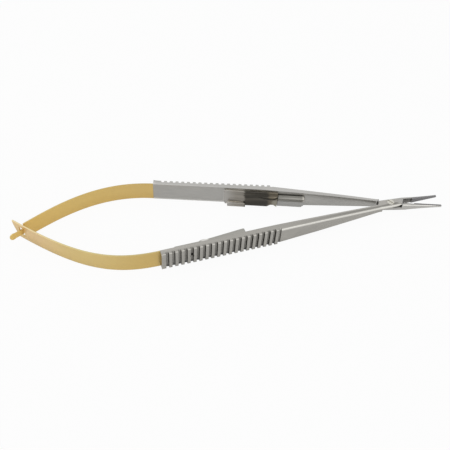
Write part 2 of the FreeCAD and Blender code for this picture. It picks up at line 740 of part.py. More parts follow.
def build():
    outline = half_outline()
    blank = half_blank(outline)
    strike_arm = blank.cut([screw_holes_upper(), rivet_hole()])
    latch_arm = half_turn(blank).cut(screw_hole_lower())
    plate = strike_plate().cut(rivet_hole())
    insert = jaw_insert(outline)
    closed = {
        "strike_arm": (strike_arm, 1),
        "latch_arm": (latch_arm, -1),
        "joint_screw": (joint_screw(), -1),
        "strike_arm_jaw_insert": (insert, 1),
        "latch_arm_jaw_insert": (half_turn(insert), -1),
        "strike_plate": (plate, 1),
        "strike_rivet": (strike_rivet(), 1),
        "latch_barrel": (latch_barrel(latch_arm), -1),
        "latch_lever": (latch_lever(), -1),
        "latch_pin": (latch_pin(), -1),
        "latch_torsion_spring": (latch_spring(), -1),
    }
    pieces = {name: opened(shape, side * half_opening) for name, (shape, side) in closed.items()}
    pieces["strike_arm_spring"] = eye_leaf()
    pieces["latch_arm_spring"] = tongue_leaf()
    return pieces


pieces = build()
bounds = FreeCAD.BoundBox()
for shape in pieces.values():
    bounds.add(shape.optimalBoundingBox(False, False))
to_part_frame = Vector(-bounds.Center.x, -bounds.Center.y, -bounds.ZMin)
os.makedirs("parts", exist_ok=True)
for name, shape in pieces.items():
    shape.translate(to_part_frame)
    shape.exportStep("parts/" + name + ".step")
    print(name, "solids", len(shape.Solids), "volume", round(shape.Volume, 3), "valid", shape.isValid())
print("pivot", tuple(round(value, 4) for value in to_part_frame))
print("size", round(bounds.XLength, 3), round(bounds.YLength, 3), round(bounds.ZLength, 3))
latch_axis_start = Vector(0, -latch_axis_height, latch_axis_z)
latch_axis = Part.makeLine(latch_axis_start, latch_axis_start + X_AXIS)
axis_shape = opened(on_latch_handle(latch_axis), -half_opening)
axis_shape.translate(to_part_frame)
first_end, second_end = (vertex.Point for vertex in axis_shape.Vertexes)
print("latch axis", first_end, (second_end - first_end).normalize())
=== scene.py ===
"""Looks of a micro-surgical needle holder: satin steel handles, polished latch, gold-plated leaf springs."""
from __future__ import annotations

import json
import logging
import math
from collections.abc import Callable
from dataclasses import dataclass
from enum import Enum

import bpy
from mathutils import Euler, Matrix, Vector

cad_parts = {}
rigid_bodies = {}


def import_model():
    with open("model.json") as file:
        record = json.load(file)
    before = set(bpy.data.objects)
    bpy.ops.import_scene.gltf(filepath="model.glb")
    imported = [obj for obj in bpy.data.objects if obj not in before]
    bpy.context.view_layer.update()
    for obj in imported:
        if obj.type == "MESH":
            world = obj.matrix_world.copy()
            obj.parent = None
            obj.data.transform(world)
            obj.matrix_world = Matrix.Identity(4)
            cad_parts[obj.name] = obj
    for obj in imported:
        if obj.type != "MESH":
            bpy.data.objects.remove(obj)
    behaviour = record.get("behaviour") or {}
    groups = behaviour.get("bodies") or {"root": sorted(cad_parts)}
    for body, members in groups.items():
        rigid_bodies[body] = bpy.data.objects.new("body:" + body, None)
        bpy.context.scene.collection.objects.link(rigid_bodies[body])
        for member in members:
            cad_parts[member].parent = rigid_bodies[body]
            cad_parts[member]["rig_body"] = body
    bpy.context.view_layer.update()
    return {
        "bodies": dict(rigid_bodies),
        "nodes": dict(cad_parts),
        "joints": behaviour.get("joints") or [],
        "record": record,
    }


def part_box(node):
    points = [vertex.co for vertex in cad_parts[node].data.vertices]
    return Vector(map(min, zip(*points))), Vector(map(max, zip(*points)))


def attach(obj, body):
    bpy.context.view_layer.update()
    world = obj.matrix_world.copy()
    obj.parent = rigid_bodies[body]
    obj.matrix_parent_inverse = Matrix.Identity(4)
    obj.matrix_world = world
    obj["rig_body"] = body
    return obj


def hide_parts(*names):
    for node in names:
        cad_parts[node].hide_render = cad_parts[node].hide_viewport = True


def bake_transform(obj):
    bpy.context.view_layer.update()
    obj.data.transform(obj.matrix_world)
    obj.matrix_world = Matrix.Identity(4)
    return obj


LOG = logging.getLogger("needle_holder")
MM = 0.001
PHOTO_SIDE = 450

# Directions of the brushing, in degrees from the X axis.
STRIKE_TURN = 7.0
LATCH_TURN = -7.0
LEVER_TURN = -10.7

Triple = tuple[float, float, float]
Colour = Triple


class Side(Enum):
    """The two halves of the instrument, by the sign of Y on which each handle lies."""

    STRIKE = -1
    LATCH = 1

    @property
    def body(self) -> str:
        """Name of the body that this half's handle belongs to."""
        return "strike_arm" if self is Side.STRIKE else "latch_arm"

    @property
    def other(self) -> "Side":
        """The half across the joint."""
        return Side.LATCH if self is Side.STRIKE else Side.STRIKE


class Shade:
    """A number from a shader socket, which adds maths nodes when it is used in an expression."""

    def __init__(self, recipe: "Recipe", socket: bpy.types.NodeSocket) -> None:
        """Keeps the socket and the recipe that its nodes go into."""
        self.recipe = recipe
        self.socket = socket

    def _maths(self, operation: str, first: "Shade | float", second: "Shade | float") -> "Shade":
        """One Math node on two values.

        Args:
            operation: The Math node's operation.
            first: Left operand.
            second: Right operand.

        Returns:
            The node's result.
        """
        made = self.recipe.node("ShaderNodeMath", {"operation": operation}, {0: first, 1: second})
        return Shade(self.recipe, made.outputs[0])

    def __add__(self, other: "Shade | float") -> "Shade":
        """Sum."""
        return self._maths("ADD", self, other)

    __radd__ = __add__

    def __sub__(self, other: "Shade | float") -> "Shade":
        """Difference."""
        return self._maths("SUBTRACT", self, other)

    def __rsub__(self, other: "Shade | float") -> "Shade":
        """Difference taken from a plain number."""
        return self._maths("SUBTRACT", other, self)

    def __mul__(self, other: "Shade | float") -> "Shade":
        """Product."""
        return self._maths("MULTIPLY", self, other)

    __rmul__ = __mul__

    def sine(self) -> "Shade":
        """Sine of a value in radians."""
        return self._maths("SINE", self, 0.0)

    def most(self, other: "Shade | float") -> "Shade":
        """The larger of two values."""
        return self._maths("MAXIMUM", self, other)

    def ramp(self, low: float, high: float) -> "Shade":
        """A smooth rise from 0 at low to 1 at high."""
        made = self.recipe.node("ShaderNodeMapRange", {"interpolation_type": "SMOOTHSTEP"},
                                {"Value": self, "From Min": low, "From Max": high})
        return Shade(self.recipe, made.outputs[0])

    def near(self, reach: float) -> "Shade":
        """How near to 0 a value is, from 1 there to 0 at a reach on either side."""
        return 1.0 - (self * self).ramp(0.0, reach ** 2)


class Recipe:
    """A material under construction around one Principled surface."""

    def __init__(self, name: str) -> None:
        """Starts an empty node tree with a Principled surface and an output."""
        self.material = bpy.data.materials.new(name)
        self.material.use_nodes = True
        self.tree = self.material.node_tree
        self.tree.nodes.clear()
        self.surface = self.node("ShaderNodeBsdfPrincipled")
        self.output = self.node("ShaderNodeOutputMaterial", {}, {"Surface": self.surface.outputs[0]})

    def node(self, kind: str, settings: dict | None = None, inputs: dict | None = None) -> bpy.types.Node:
        """Adds a node.

        Args:
            kind: Blender's node type.
            settings: Properties, set before the sockets.
            inputs: Socket names or numbers with their values, links or shades.

        Returns:
            The new node.
        """
        made = self.tree.nodes.new(kind)
        for key, value in (settings or {}).items():
            setattr(made, key, value)
        for key, value in (inputs or {}).items():
            self.feed(made.inputs[key], value)
        return made

    def feed(self, socket: bpy.types.NodeSocket, value: object) -> None:
        """Sets a socket to a value, or links it.

        Args:
            socket: The input socket.
            value: A plain value, an output socket or a shade.
        """
        if isinstance(value, Shade):
            value = value.socket
        if isinstance(value, bpy.types.NodeSocket):
            self.tree.links.new(value, socket)
        elif isinstance(value, tuple) and len(value) == 3 and socket.type == "RGBA":
            socket.default_value = (*value, 1.0)
        else:
            socket.default_value = value

    def set(self, **values: object) -> None:
        """Feeds the surface's sockets, named with underscores for spaces."""
        for key, value in values.items():
            self.feed(self.surface.inputs[key.replace("_", " ").title().replace("Ior", "IOR")], value)

    def along(self, turn: float, cells: Triple) -> bpy.types.NodeSocket:
        """Object coordinates turned about Z and stretched.

        Args:
            turn: Degrees by which the pattern's X axis is turned from the object's.
            cells: Cells per metre on each axis.

        Returns:
            The vector socket.
        """
        place = self.node("ShaderNodeTexCoord").outputs["Object"]
        turned = self.node("ShaderNodeMapping", {"vector_type": "TEXTURE"},
                           {"Vector": place, "Rotation": Euler((0, 0, math.radians(turn)))})
        scaled = self.node("ShaderNodeVectorMath", {"operation": "MULTIPLY"},
                           {0: turned.outputs[0], 1: cells})
        return scaled.outputs[0]

    def place(self, axis: str) -> Shade:
        """One of the object coordinates, in metres."""
        place = self.node("ShaderNodeTexCoord").outputs["Object"]
        return Shade(self, self.node("ShaderNodeSeparateXYZ", {}, {0: place}).outputs[axis])

    def noise(self, turn: float, cells: Triple, detail: float) -> Shade:
        """Noise from 0 to 1, turned and stretched as in along()."""
        inputs = {"Vector": self.along(turn, cells), "Scale": 1.0, "Detail": detail}
        return Shade(self, self.node("ShaderNodeTexNoise", {}, inputs).outputs["Fac"])

    def mix(self, amount: Shade | float, first: object, second: object) -> bpy.types.NodeSocket:
        """Blend of two colours."""
        made = self.node("ShaderNodeMix", {"data_type": "RGBA"}, {0: amount, 6: first, 7: second})
        return made.outputs[2]

    def bump(self, height: Shade, depth: float) -> bpy.types.NodeSocket:
        """Normal from a height of 0 to 1 over a depth in metres."""
        made = self.node("ShaderNodeBump", {}, {"Height": height, "Distance": depth, "Strength": 1.0})
        return made.outputs[0]

    def hollow(self, reach: float) -> Shade:
        """How shut in a point is, from 0 in the open to 1 in a corner, within a reach in metres."""
        made = self.node("ShaderNodeAmbientOcclusion", {"samples": 8}, {"Distance": reach})
        return 1.0 - Shade(self, made.outputs["AO"])


@dataclass(frozen=True)
class Finish:
    """A finish, which builds a material of its name; turn is the direction of its grain in degrees."""

    name: str
    turn: float

    def fill(self, recipe: Recipe) -> None:
        """Feeds the surface of an empty recipe; each finish has its own way."""

    def make(self) -> bpy.types.Material:
        """Builds the material.

        Returns:
            The new material.
        """
        recipe = Recipe(self.name)
        self.fill(recipe)
        return recipe.material


@dataclass(frozen=True)
class SatinSteel(Finish):
    """Fine brushed stainless steel; its corners are darkened with painted shade."""

    light: Colour = (0.47, 0.46, 0.435)
    dark: Colour = (0.39, 0.385, 0.37)
    jaw_light: Colour = (0.46, 0.45, 0.425)
    jaw_dark: Colour = (0.38, 0.375, 0.36)
    # painted shade: the colour that corners and grooves are darkened to, within the reach below
    corner: Colour = (0.045, 0.042, 0.038)
    painted_corner_reach: float = 1.3 * MM
    roughness: float = 0.36
    jaw_from: float = 53.0 * MM
    jaw_to: float = 57.0 * MM
    hair_cells: Triple = (160.0, 5200.0, 5200.0)
    hair_depth: float = 0.004 * MM
    cloud_cells: Triple = (90.0, 320.0, 320.0)

    def tone(self, recipe: Recipe, grain: Shade) -> bpy.types.NodeSocket:
        """Colour away from the corners, with its own shade on the jaw.

        Args:
            recipe: The material under construction.
            grain: The brushing, from 0 to 1.

        Returns:
            The colour.
        """
        handle = recipe.mix(grain, self.dark, self.light)
        jaw = recipe.mix(grain, self.jaw_dark, self.jaw_light)
        return recipe.mix(recipe.place("X").ramp(self.jaw_from, self.jaw_to), handle, jaw)

    def shade(self, recipe: Recipe) -> Colour | bpy.types.NodeSocket:
        """Painted shade colour for the corners."""
        return self.corner

    def fill(self, recipe: Recipe) -> None:
        """Feeds the surface.

        Args:
            recipe: The material under construction.
        """
        hair = recipe.noise(self.turn, self.hair_cells, 3.0)
        cloud = recipe.noise(self.turn, self.cloud_cells, 2.0)
        tone = self.tone(recipe, (hair * 0.6 + cloud * 0.4).ramp(0.3, 0.7))
        # painted shade: the more shut in a point is, the nearer its colour comes to the painted shade colour
        shut = recipe.hollow(self.painted_corner_reach).ramp(0.2, 0.8)
        recipe.set(base_color=recipe.mix(shut, tone, self.shade(recipe)), metallic=1.0,
                   roughness=self.roughness + (hair - 0.5) * 0.16 + (cloud - 0.5) * 0.08,
                   normal=recipe.bump(hair, self.hair_depth))


@dataclass(frozen=True)
class LatchFace(SatinSteel):
    """The latch arm's broad faces: their corners get painted light behind the lever's head, a mild painted
    shade behind its paddle and the dark painted shade elsewhere.
    """

    # painted light behind the lever's head, and a mild painted shade behind its paddle, in place of the dark
    # painted shade
    painted_light_behind_head: Colour = (0.92, 0.905, 0.87)
    painted_shade_behind_paddle: Colour = (0.42, 0.40, 0.36)
    head_end: float = 3.5 * MM
    paddle_start: float = 5.5 * MM
    paddle_end: float = 14.5 * MM
    barrel_start: float = 15.8 * MM
    middle_slope: float = -0.1795
    middle_base: float = 10.83 * MM
    middle_fade: float = 0.3 * MM

    def shade(self, recipe: Recipe) -> Colour | bpy.types.NodeSocket:
        """Painted colour in the corners: painted light behind the head, a mild painted shade behind the
        paddle, the dark painted shade elsewhere.

        Args:
            recipe: The material under construction.

        Returns:
            The colour.
        """
        forward = recipe.place("X")
        # painted light and shade for the corners, chosen along the arm; the outer half takes the dark painted
        # shade
        inner = recipe.mix(forward.ramp(self.head_end, self.paddle_start),
                           self.painted_light_behind_head, self.painted_shade_behind_paddle)
        inner = recipe.mix(forward.ramp(self.paddle_end, self.barrel_start), inner, self.corner)
        outward = recipe.place("Y") - forward * self.middle_slope - self.middle_base
        return recipe.mix(outward.ramp(-self.middle_fade, self.middle_fade), inner, self.corner)


@dataclass(frozen=True)
class BandedSide(SatinSteel):
    """The strike arm's narrow side: between a pale inner edge and the bevel runs a darker band of painted
    shade.
    """

    # painted shade: the band's colour, from the rear towards the joint
    painted_shade_rear: Colour = (0.365, 0.353, 0.325)
    painted_shade_joint: Colour = (0.20, 0.194, 0.178)
    band_from: float = 8.0 * MM
    band_to: float = 50.0 * MM
    edge_from: float = 12.0 * MM
    edge_to: float = 26.0 * MM
    inner_edge: tuple[float, float] = (0.35 * MM, 0.7 * MM)
    lap_from: float = 46.0 * MM
    lap_to: float = 49.0 * MM
    lap_band: tuple[float, float] = (1.05 * MM, 1.35 * MM)
    lap_fade: float = 1.5 * MM
    lap_end: float = 55.6 * MM
    outer_corner: tuple[float, float] = (47.945 * MM, -2.272 * MM)
    outer_directions: tuple[float, float] = (12.3, 7.0)
    inner_corner: tuple[float, float] = (47.78 * MM, -0.947 * MM)
    inner_direction: float = 11.0
    taper_from: float = 10.5 * MM
    taper_slope: float = -0.0376
    taper_curve: float = 0.434
    top: float = 6.5 * MM
    joint_top: float = 4.5 * MM

    def beyond(self, recipe: Recipe, corner: tuple[float, float], degrees: float) -> Shade:
        """Distance towards +Y from a line through a point, in metres.

        Args:
            recipe: The material under construction.
            corner: X and Y of the point.
            degrees: The line's direction from the X axis.

        Returns:
            The signed distance.
        """
        turn = math.radians(degrees)
        return ((recipe.place("X") - corner[0]) * -math.sin(turn)
                + (recipe.place("Y") - corner[1]) * math.cos(turn))

    def above_edge(self, recipe: Recipe) -> Shade:
        """Height above the bevel's upper edge, in metres, which sinks from the grip to the lap.

        Args:
            recipe: The material under construction.

        Returns:
            The signed height.
        """
        along = (recipe.place("X") - self.taper_from).most(0.0)
        edge = (along * self.taper_slope - along * along * self.taper_curve + self.top).most(self.joint_top)
        return recipe.place("Z") - edge

    def from_outer(self, recipe: Recipe) -> Shade:
        """Distance inwards from the outer face, in metres."""
        outer = [self.beyond(recipe, self.outer_corner, degrees) for degrees in self.outer_directions]
        return outer[0].most(outer[1])

    def tone(self, recipe: Recipe, grain: Shade) -> bpy.types.NodeSocket:
        """Colour away from the corners, darker in the band of painted shade.

        Args:
            recipe: The material under construction.
            grain: The brushing, from 0 to 1.

        Returns:
            The colour.
        """
        forward = recipe.place("X")
        from_inner = self.beyond(recipe, self.inner_corner, self.inner_direction) * -1.0
        on_lap = forward.ramp(self.lap_from, self.lap_to) * self.from_outer(recipe).ramp(*self.lap_band)
        past_lap = forward.ramp(self.lap_end - self.lap_fade, self.lap_end)
        # painted shade: the band covers the whole side at the rear; further forward it leaves the inner edge
        # pale, on the lap it keeps to the outer edge, and it ends at the lap's end
        band = from_inner.ramp(*self.inner_edge) * (1.0 - on_lap) * (1.0 - past_lap)
        band = 1.0 - forward.ramp(self.edge_from, self.edge_to) * (1.0 - band)
        ground = recipe.mix(forward.ramp(self.band_from, self.band_to), self.painted_shade_rear, self.painted_shade_joint)
        return recipe.mix(band * (grain * 0.3 + 0.7), SatinSteel.tone(self, recipe, grain), ground)


@dataclass(frozen=True)
class BandedBevel(BandedSide):
    """The strike arm's bevel: the side's band of painted shade runs onto it, and its lower half carries a
    painted highlight.
    """

    # painted highlight on the lower half, painted shade on the upper half
    bright: Colour = (0.58, 0.565, 0.525)
    ground: Colour = (0.27, 0.263, 0.243)
    painted_highlight_from: float = -0.14 * MM
    painted_highlight_full: float = -0.24 * MM

    def tone(self, recipe: Recipe, grain: Shade) -> bpy.types.NodeSocket:
        """Colour away from the corners, in two bands: painted highlight below, painted shade above."""
        # painted highlight below the upper edge, painted shade above it
        upper = self.above_edge(recipe).ramp(self.painted_highlight_full, self.painted_highlight_from)
        return recipe.mix(upper, self.bright, self.ground)


@dataclass(frozen=True)
class BandedFace(BandedSide):
    """The strike arm's broad faces: below the bevel the outer one starts with a painted highlight."""

    # painted highlight along the top of the outer face, and painted shadow below the lap's end
    bright: Colour = (0.80, 0.785, 0.735)
    painted_shadow_wedge: Colour = (0.13, 0.124, 0.115)
    edge_height: float = 0.85 * MM
    edge_fade: float = 0.2 * MM
    end_fade: float = 1.0 * MM
    painted_shadow_from: float = 52.3 * MM
    painted_shadow_full: float = 54.0 * MM
    outer_reach: float = 0.9 * MM
    # a lighter painted shade for the corners at the rear end
    rear_painted_shade: Colour = (0.33, 0.325, 0.31)
    rear_painted_shade_to: float = -24.3 * MM
    rear_painted_shade_fade: float = 0.4 * MM

    def shade(self, recipe: Recipe) -> Colour | bpy.types.NodeSocket:
        """Painted shade in the corners, lighter at the rear end."""
        rear = recipe.place("X").ramp(self.rear_painted_shade_to - self.rear_painted_shade_fade, self.rear_painted_shade_to)
        return recipe.mix(rear, self.rear_painted_shade, self.corner)

    def tone(self, recipe: Recipe, grain: Shade) -> bpy.types.NodeSocket:
        """Colour away from the corners, with a painted highlight along the top of the outer face and a
        painted shadow below the lap's end.

        Args:
            recipe: The material under construction.
            grain: The brushing, from 0 to 1.

        Returns:
            The colour.
        """
        forward = recipe.place("X")
        outside = 1.0 - self.from_outer(recipe).ramp(self.outer_reach * 0.5, self.outer_reach)
        reach = (forward.ramp(self.edge_from, self.edge_from + self.end_fade) * outside
                 * (1.0 - forward.ramp(self.lap_end, self.lap_end + self.end_fade)))
        # painted highlight band under the bevel, and painted shadow under the lap's end
        painted_light = (self.above_edge(recipe) + self.edge_height).ramp(-self.edge_fade, self.edge_fade)
        plain = recipe.mix(forward.ramp(self.painted_shadow_from, self.painted_shadow_full) * reach,
                           SatinSteel.tone(self, recipe, grain), self.painted_shadow_wedge)
        return recipe.mix(painted_light * reach, plain, self.bright)


@dataclass(frozen=True)
class PlateSide(SatinSteel):
    """The strike plate: ground steel, a little darker than the handle, with the bump's upper side brighter.
    """

    bump_top_tone: Colour = (0.68, 0.668, 0.635)
    bump_middle: float = -11.5 * MM
    bump_reach: float = 1.5 * MM
    bump_top_from: float = 5.6 * MM
    bump_top_full: float = 6.0 * MM

    def tone(self, recipe: Recipe, grain: Shade) -> bpy.types.NodeSocket:
        """Colour away from the corners, bright on the bump's upper side.

        Args:
            recipe: The material under construction.
            grain: The brushing, from 0 to 1.

        Returns:
            The colour.
        """
        bump_top_tone = (recipe.place("X") - self.bump_middle).near(self.bump_reach)
        bump_top_tone = bump_top_tone * recipe.place("Z").ramp(self.bump_top_from, self.bump_top_full)
        return recipe.mix(bump_top_tone, recipe.mix(grain, self.dark, self.light), self.bump_top_tone)


@dataclass(frozen=True)
class GoldPlate(Finish):
    """Satin gold plating on spring steel: palest at the linked ends, deeper towards the handles and below."""

    rear: Colour
    middle: Colour
    front: Colour
    deeper: Triple = (0.9, 0.86, 0.76)
    roughness: float = 0.4
    rear_end: float = -64.0 * MM
    middle_at: float = -49.0 * MM
    front_end: float = -27.0 * MM
    low_to: float = 4.5 * MM
    hair_cells: Triple = (260.0, 2600.0, 4200.0)
    hair_depth: float = 0.003 * MM
    cloud_cells: Triple = (60.0, 60.0, 260.0)

    def fill(self, recipe: Recipe) -> None:
        """Feeds the surface.

        Args:
            recipe: The material under construction.
        """
        hair = recipe.noise(self.turn, self.hair_cells, 3.0)
        cloud = recipe.noise(self.turn, self.cloud_cells, 2.0)
        forward = recipe.place("X")
        tone = recipe.mix(forward.ramp(self.rear_end, self.middle_at), self.rear, self.middle)
        tone = recipe.mix(forward.ramp(self.middle_at, self.front_end), tone, self.front)
        deep = tuple(channel * share for channel, share in zip(self.middle, self.deeper))
        low = 1.0 - recipe.place("Z").ramp(0.0, self.low_to)
        grain = (hair * 0.5 + cloud * 0.5).ramp(0.3, 0.7)
        recipe.set(base_color=recipe.mix(low * 0.35 + grain * 0.25, tone, deep), metallic=1.0,
                   roughness=self.roughness + (cloud - 0.5) * 0.12,
                   normal=recipe.bump(hair, self.hair_depth))


@dataclass(frozen=True)
class PolishedSteel(Finish):
    """Steel polished bright, with soft streaks."""

    colour: Colour = (0.56, 0.55, 0.53)
    streak: Colour = (0.36, 0.35, 0.34)
    roughness: float = 0.3
    # painted colour for the corners: a dark one paints shade there, a pale one paints light
    corner: Colour = (0.04, 0.038, 0.036)
    painted_corner_reach: float = 0.8 * MM
    streak_cells: Triple = (70.0, 900.0, 900.0)

    def fill(self, recipe: Recipe) -> None:
        """Feeds the surface.

        Args:
            recipe: The material under construction.
        """
        streak = recipe.noise(self.turn, self.streak_cells, 2.0)
        # the corners take the painted corner colour: shade where it is dark, light where it is pale
        shut = recipe.hollow(self.painted_corner_reach).ramp(0.35, 0.95)
        tone = recipe.mix(streak.ramp(0.35, 0.65), self.colour, self.streak)
        recipe.set(base_color=recipe.mix(shut, tone, self.corner), metallic=1.0,
                   roughness=self.roughness + (streak - 0.5) * 0.1)


@dataclass(frozen=True)
class BarrelSteel(Finish):
    """The latch barrel: dull turned tube with a painted highlight on its front end, over a satin flange; its
    corners get painted shade.
    """

    tube: Colour = (0.33, 0.32, 0.295)
    tube_streak: Colour = (0.19, 0.185, 0.165)
    flange: Colour = (0.44, 0.435, 0.42)
    # painted highlight on the front end, and painted shade for the corners
    front_end: Colour = (0.52, 0.50, 0.455)
    corner: Colour = (0.03, 0.028, 0.024)
    painted_corner_reach: float = 0.9 * MM
    flange_top: float = 2.8 * MM
    flange_fade: float = 0.15 * MM
    front_at: float = 23.0 * MM
    front_fade: float = 0.7 * MM
    roughness: float = 0.36
    streak_cells: Triple = (90.0, 1100.0, 2200.0)

    def fill(self, recipe: Recipe) -> None:
        """Feeds the surface.

        Args:
            recipe: The material under construction.
        """
        streak = recipe.noise(self.turn, self.streak_cells, 3.0).ramp(0.35, 0.65)
        # painted highlight on the tube's front end
        front = recipe.place("X").ramp(self.front_at, self.front_at + self.front_fade)
        tube = recipe.mix(front, recipe.mix(streak, self.tube, self.tube_streak), self.front_end)
        above = recipe.place("Z").ramp(self.flange_top, self.flange_top + self.flange_fade)
        tone = recipe.mix(above, self.flange, tube)
        # painted shade in the corners
        shut = recipe.hollow(self.painted_corner_reach).ramp(0.25, 0.85)
        recipe.set(base_color=recipe.mix(shut, tone, self.corner), metallic=1.0,
                   roughness=self.roughness + streak * 0.08)


@dataclass(frozen=True)
class LeverPolish(Finish):
    """The latch lever: a painted dark reflection on the mirror-polished paddle, which ends raggedly at the
    pale, ground head.
    """

    pale: Colour = (0.36, 0.335, 0.295)
    pale_streak: Colour = (0.28, 0.262, 0.232)
    end: Colour = (0.45, 0.435, 0.41)
    end_to: float = 2.2 * MM
    # painted light in the hook's corner, within the reach below
    painted_light: Colour = (0.95, 0.92, 0.86)
    painted_light_reach: float = 0.9 * MM
    # painted reflection: the paddle's dark and brown tones stand for dark surroundings mirrored in its polish
    dark: Colour = (0.060, 0.056, 0.048)
    painted_reflection_streak: Colour = (0.115, 0.105, 0.088)
    brown: Colour = (0.16, 0.138, 0.105)
    boss: Colour = (0.33, 0.31, 0.255)
    # painted shade line between paddle and boss
    painted_crease_shade: Colour = (0.035, 0.032, 0.027)
    polish_from: float = 4.4 * MM
    polish_fade: float = 0.4 * MM
    ragged_reach: float = 1.6 * MM
    brown_from: float = 11.8 * MM
    brown_fade: float = 1.2 * MM
    boss_from: float = 12.9 * MM
    boss_fade: float = 1.4 * MM
    boss_below: tuple[float, float] = (0.1 * MM, 1.6 * MM)
    crease_from: float = 9.6 * MM
    crease_fade: float = 1.5 * MM
    crease_width: float = 0.3 * MM
    crease_height: float = 3.8 * MM
    crease_turn: float = 13.6 * MM
    crease_rise: float = 0.5
    roughness: float = 0.40
    streak_cells: Triple = (60.0, 900.0, 900.0)
    ragged_cells: Triple = (200.0, 1500.0, 1500.0)

    def head_tone(self, recipe: Recipe, grain: Shade) -> bpy.types.NodeSocket:
        """Colour of the ground head, paler at its free end, with painted light in the hook's corner.

        Args:
            recipe: The material under construction.
            grain: The streaks, from 0 to 1.

        Returns:
            The colour.
        """
        head = recipe.mix(grain, self.pale, self.pale_streak)
        head = recipe.mix(recipe.place("X").ramp(-self.end_to, self.end_to), self.end, head)
        # painted light: the more shut in a point of the head is, the paler it is painted
        return recipe.mix(recipe.hollow(self.painted_light_reach).ramp(0.25, 0.7), head, self.painted_light)

    def paddle_tone(self, recipe: Recipe, grain: Shade, place: Shade) -> bpy.types.NodeSocket:
        """Colour of the polished paddle, painted dark as a reflection, and of the boss, with a painted shade
        line where they meet.

        Args:
            recipe: The material under construction.
            grain: The streaks, from 0 to 1.
            place: X with a ragged edge, in metres.

        Returns:
            The colour.
        """
        forward = recipe.place("X")
        rise = (forward - self.crease_turn).most(0.0) * self.crease_rise
        below = rise + self.crease_height - recipe.place("Z")
        brown = place.ramp(self.brown_from, self.brown_from + self.brown_fade)
        paddle = recipe.mix(brown, recipe.mix(grain, self.dark, self.painted_reflection_streak), self.brown)
        on_boss = forward.ramp(self.boss_from, self.boss_from + self.boss_fade) * below.ramp(*self.boss_below)
        paddle = recipe.mix(on_boss, paddle, self.boss)
        # painted shade line where paddle and boss meet
        line = forward.ramp(self.crease_from, self.crease_from + self.crease_fade)
        return recipe.mix(line * below.near(self.crease_width), paddle, self.painted_crease_shade)

    def fill(self, recipe: Recipe) -> None:
        """Feeds the surface.

        Args:
            recipe: The material under construction.
        """
        grain = recipe.noise(self.turn, self.streak_cells, 3.0).ramp(0.3, 0.75)
        ragged = recipe.noise(self.turn, self.ragged_cells, 2.0)
        place = recipe.place("X") + (ragged - 0.5) * self.ragged_reach
        polished = place.ramp(self.polish_from - self.polish_fade, self.polish_from + self.polish_fade)
        tone = recipe.mix(polished, self.head_tone(recipe, grain), self.paddle_tone(recipe, grain, place))
        recipe.set(base_color=tone, metallic=1.0, roughness=self.roughness - polished * 0.12)


@dataclass(frozen=True)
class CutCarbide(Finish):
    """Dark sintered carbide with a fine diamond cut."""

    colour: Colour = (0.34, 0.334, 0.338)
    groove: Colour = (0.20, 0.196, 0.197)
    groove_spacing: float = 0.36 * MM
    groove_depth: float = 0.03 * MM
    roughness: float = 0.42
    grain_cells: Triple = (9000.0, 9000.0, 9000.0)

    def fill(self, recipe: Recipe) -> None:
        """Feeds the surface.

        Args:
            recipe: The material under construction.
        """
        rate = 2.0 * math.pi / self.groove_spacing
        along, up = recipe.place("X"), recipe.place("Z")
        first = ((along + up) * rate).sine()
        second = ((along - up) * rate).sine()
        grain = recipe.noise(self.turn, self.grain_cells, 1.0)
        cut = (first * first) * (second * second)
        recipe.set(base_color=recipe.mix(cut * 0.6 + grain * 0.4, self.groove, self.colour), metallic=1.0,
                   roughness=self.roughness + (grain - 0.5) * 0.2, normal=recipe.bump(cut, self.groove_depth))


def wipe_selection() -> None:
    """Deselects every object, so that an operator acts only on the new one."""
    bpy.ops.object.select_all(action="DESELECT")


def take(piece: bpy.types.Object) -> None:
    """Selects one object and makes it the active one.

    Args:
        piece: The object.
    """
    wipe_selection()
    piece.select_set(True)
    bpy.context.view_layer.objects.active = piece


def dress(piece: bpy.types.Object, material: bpy.types.Material) -> None:
    """Gives a piece one material all over."""
    piece.data.materials.clear()
    piece.data.materials.append(material)


def refinish(piece: bpy.types.Object, material: bpy.types.Material,
             chosen: Callable[[bpy.types.MeshPolygon], bool]) -> None:
    """Gives a second finish to some faces of a dressed piece.

    Args:
        piece: The piece.
        material: The finish to add.
        chosen: Says whether a face takes it.
    """
    piece.data.materials.append(material)
    index = len(piece.data.materials) - 1
    for face in piece.data.polygons:
        if chosen(face):
            face.material_index = index


